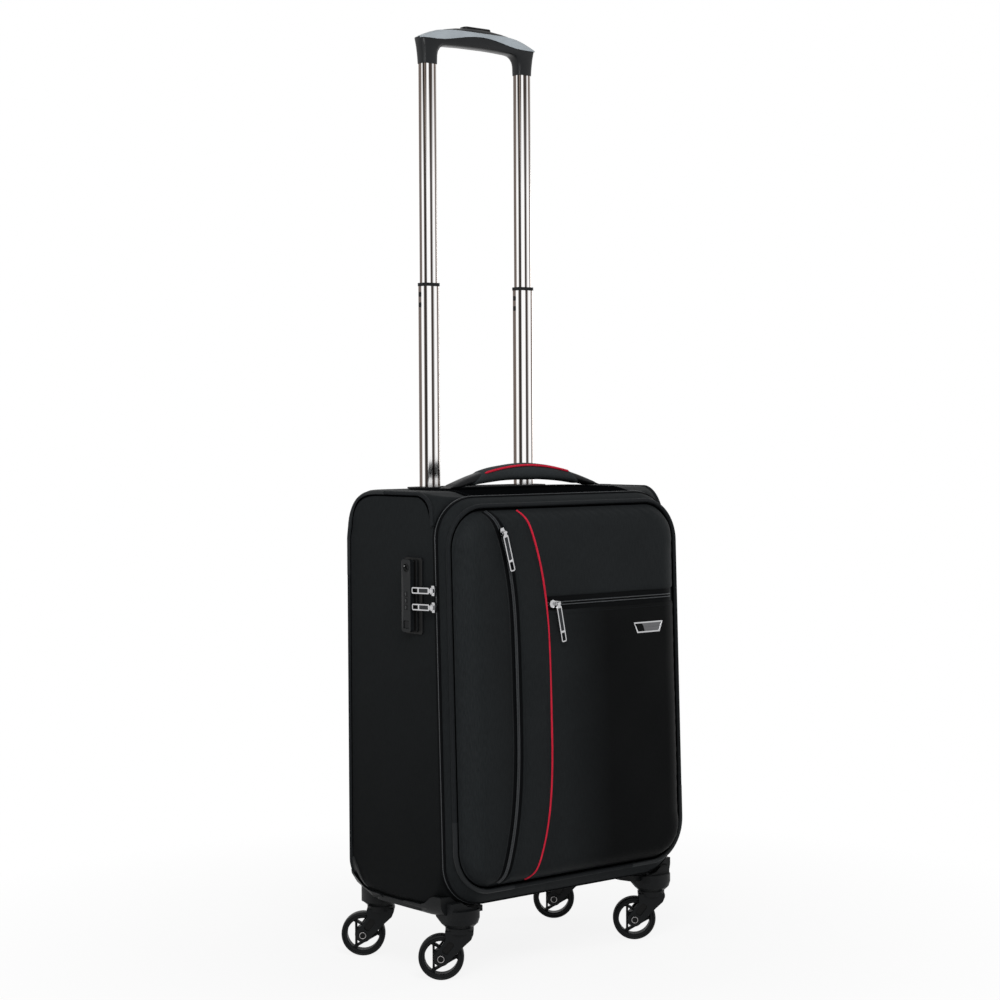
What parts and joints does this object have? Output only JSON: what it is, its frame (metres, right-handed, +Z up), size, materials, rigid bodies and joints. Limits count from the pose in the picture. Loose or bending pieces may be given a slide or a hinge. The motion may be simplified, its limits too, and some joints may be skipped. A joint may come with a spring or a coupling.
{
  "type": "softside upright suitcase",
  "caption": "Softside upright cabin suitcase with zipped lid and front pockets, two-stage trolley handle, dial lock, carry handle and swivelling caster wheels.",
  "frame": {"origin": "centre of the box's bottom face, on the floor under the suitcase", "axes": "+Z up, +Y to the back where the trolley tubes are, +X to the right as seen from the front"},
  "size_m": [0.3538, 0.2208, 1.064],
  "materials": {
    "fabric": "black twill woven cloth over board and foam",
    "lining": "plain dark lining cloth",
    "piping": "black corded piping with a soft shine",
    "red_fabric": "red corded piping",
    "zip_tape": "black coil zip",
    "black_plastic": "black moulded plastic, satin",
    "wheel_rubber": "black hard rubber, satin",
    "grey_plastic": "silver grey painted strip",
    "pull_metal": "bright nickel",
    "tube_metal": "champagne anodised tube",
    "steel": "plain steel"
  },
  "bodies": {
    "case": {"case_shell": "fabric", "case_lining": "lining", "side_piping_left": "piping", "side_piping_right": "piping", "main_zip_chain": "zip_tape", "lid_hinge_tape": "fabric", "carry_handle": "fabric", "carry_handle_trim": "red_fabric", "corner_guard_front_left": "black_plastic", "corner_guard_front_right": "black_plastic", "corner_guard_back_left": "black_plastic", "corner_guard_back_right": "black_plastic", "lock_housing": "black_plastic", "handle_bezel": "black_plastic", "tube_foot_bracket": "black_plastic", "outer_tube_left": "tube_metal", "outer_tube_right": "tube_metal"},
    "dial_1": {"lock_dial_1": "black_plastic"},
    "dial_2": {"lock_dial_2": "black_plastic"},
    "dial_3": {"lock_dial_3": "black_plastic"},
    "lock_button": {"lock_button": "black_plastic"},
    "main_slider_upper": {"main_slider_upper": "pull_metal"},
    "main_pull_upper": {"main_pull_upper": "pull_metal"},
    "main_slider_lower": {"main_slider_lower": "pull_metal"},
    "main_pull_lower": {"main_pull_lower": "pull_metal"},
    "lid": {"lid_shell": "fabric", "lid_piping": "piping", "side_pocket_panel": "fabric", "main_pocket_panel": "fabric", "red_piping": "red_fabric", "side_zip_tape": "zip_tape", "front_zip_tape": "zip_tape", "badge_plate": "pull_metal"},
    "side_pocket_slider": {"side_pocket_slider": "pull_metal"},
    "side_pocket_pull": {"side_pocket_pull": "pull_metal"},
    "front_pocket_slider": {"front_pocket_slider": "pull_metal"},
    "front_pocket_pull": {"front_pocket_pull": "pull_metal"},
    "middle_stage": {"middle_tube_left": "tube_metal", "middle_tube_right": "tube_metal", "middle_collar_left": "black_plastic", "middle_collar_right": "black_plastic"},
    "upper_stage": {"upper_tube_left": "tube_metal", "upper_tube_right": "tube_metal", "grip_body": "black_plastic", "grip_inlay": "grey_plastic"},
    "release": {"release_button": "black_plastic", "release_yoke": "steel"},
    "fork_front_left": {"caster_fork_front_left": "black_plastic", "caster_axle_front_left": "steel"},
    "wheel_front_left": {"caster_wheel_front_left": "wheel_rubber"},
    "fork_front_right": {"caster_fork_front_right": "black_plastic", "caster_axle_front_right": "steel"},
    "wheel_front_right": {"caster_wheel_front_right": "wheel_rubber"},
    "fork_back_left": {"caster_fork_back_left": "black_plastic", "caster_axle_back_left": "steel"},
    "wheel_back_left": {"caster_wheel_back_left": "wheel_rubber"},
    "fork_back_right": {"caster_fork_back_right": "black_plastic", "caster_axle_back_right": "steel"},
    "wheel_back_right": {"caster_wheel_back_right": "wheel_rubber"}
  },
  "joints": [
    {"name": "lid_hinge", "type": "hinge", "parent": "case", "child": "lid", "pos_m": [0.17625, -0.07258, 0.287], "axis": [0, 0.03, 0.9996], "range_deg": [0, 165]},
    {"name": "middle_slide", "type": "slide", "parent": "case", "child": "middle_stage", "axis": [0, 0, 1], "range_m": [-0.26, 0]},
    {"name": "upper_slide", "type": "slide", "parent": "middle_stage", "child": "upper_stage", "axis": [0, 0, 1], "range_m": [-0.2498, 0]},
    {"name": "release_press", "type": "slide", "parent": "upper_stage", "child": "release", "axis": [0, 0, -1], "range_m": [0, 0.0035], "stiffness_N_per_m": 600, "springref_m": -0.005},
    {"name": "main_slider_upper_slide", "type": "slide", "parent": "case", "child": "main_slider_upper", "axis": [0, 0.03, 0.9996], "range_m": [0, 0.045]},
    {"name": "main_pull_upper_hinge", "type": "hinge", "parent": "main_slider_upper", "child": "main_pull_upper", "pos_m": [-0.1724, -0.06489, 0.425], "axis": [0, 0.03, 0.9996], "range_deg": [0, 120]},
    {"name": "main_slider_lower_slide", "type": "slide", "parent": "case", "child": "main_slider_lower", "axis": [0, -0.03, -0.9996], "range_m": [0, 0.265]},
    {"name": "main_pull_lower_hinge", "type": "hinge", "parent": "main_slider_lower", "child": "main_pull_lower", "pos_m": [-0.1724, -0.06543, 0.407], "axis": [0, 0.03, 0.9996], "range_deg": [0, 120]},
    {"name": "side_pocket_slider_run", "type": "hinge", "parent": "lid", "child": "side_pocket_slider", "pos_m": [-0.39046, -0.09837, 0.38668], "axis": [0, 0.9994, -0.0359], "range_deg": [0, 18.29]},
    {"name": "side_pocket_pull_hinge", "type": "hinge", "parent": "side_pocket_slider", "child": "side_pocket_pull", "pos_m": [-0.1005, -0.10206, 0.48619], "axis": [-0.9728, -0.0083, -0.2316], "range_deg": [0, 150]},
    {"name": "front_pocket_pull_hinge", "type": "hinge", "parent": "front_pocket_slider", "child": "front_pocket_pull", "pos_m": [-0.02671, -0.10495, 0.40559], "axis": [-0.9863, -0.0059, -0.1649], "range_deg": [0, 150]},
    {"name": "front_pocket_slider_run", "type": "slide", "parent": "lid", "child": "front_pocket_slider", "axis": [1, 0, 0], "range_m": [0, 0.155]},
    {"name": "dial_1_turn", "type": "hinge", "parent": "case", "child": "dial_1", "pos_m": [-0.16855, -0.02158, 0.4192], "axis": [0, 0, 1], "continuous": true},
    {"name": "dial_2_turn", "type": "hinge", "parent": "case", "child": "dial_2", "pos_m": [-0.16855, -0.02158, 0.412], "axis": [0, 0, 1], "continuous": true},
    {"name": "dial_3_turn", "type": "hinge", "parent": "case", "child": "dial_3", "pos_m": [-0.16855, -0.02158, 0.4048], "axis": [0, 0, 1], "continuous": true},
    {"name": "lock_button_press", "type": "slide", "parent": "case", "child": "lock_button", "axis": [1, 0, 0], "range_m": [0, 0.0015], "stiffness_N_per_m": 400, "springref_m": -0.001},
    {"name": "swivel_front_left", "type": "hinge", "parent": "case", "child": "fork_front_left", "pos_m": [-0.13845, -0.06768, 0.058], "axis": [0, 0, 1], "continuous": true},
    {"name": "wheel_spin_front_left", "type": "hinge", "parent": "fork_front_left", "child": "wheel_front_left", "pos_m": [-0.15377, -0.05482, 0.025], "axis": [-0.6428, -0.766, 0], "continuous": true},
    {"name": "swivel_front_right", "type": "hinge", "parent": "case", "child": "fork_front_right", "pos_m": [0.14795, -0.06768, 0.058], "axis": [0, 0, 1], "continuous": true},
    {"name": "wheel_spin_front_right", "type": "hinge", "parent": "fork_front_right", "child": "wheel_front_right", "pos_m": [0.13263, -0.05482, 0.025], "axis": [-0.6428, -0.766, 0], "continuous": true},
    {"name": "swivel_back_left", "type": "hinge", "parent": "case", "child": "fork_back_left", "pos_m": [-0.13845, 0.07652, 0.058], "axis": [0, 0, 1], "continuous": true},
    {"name": "wheel_spin_back_left", "type": "hinge", "parent": "fork_back_left", "child": "wheel_back_left", "pos_m": [-0.15377, 0.08938, 0.025], "axis": [-0.6428, -0.766, 0], "continuous": true},
    {"name": "swivel_back_right", "type": "hinge", "parent": "case", "child": "fork_back_right", "pos_m": [0.14795, 0.07652, 0.058], "axis": [0, 0, 1], "continuous": true},
    {"name": "wheel_spin_back_right", "type": "hinge", "parent": "fork_back_right", "child": "wheel_back_right", "pos_m": [0.13263, 0.08938, 0.025], "axis": [-0.6428, -0.766, 0], "continuous": true}
  ]
}
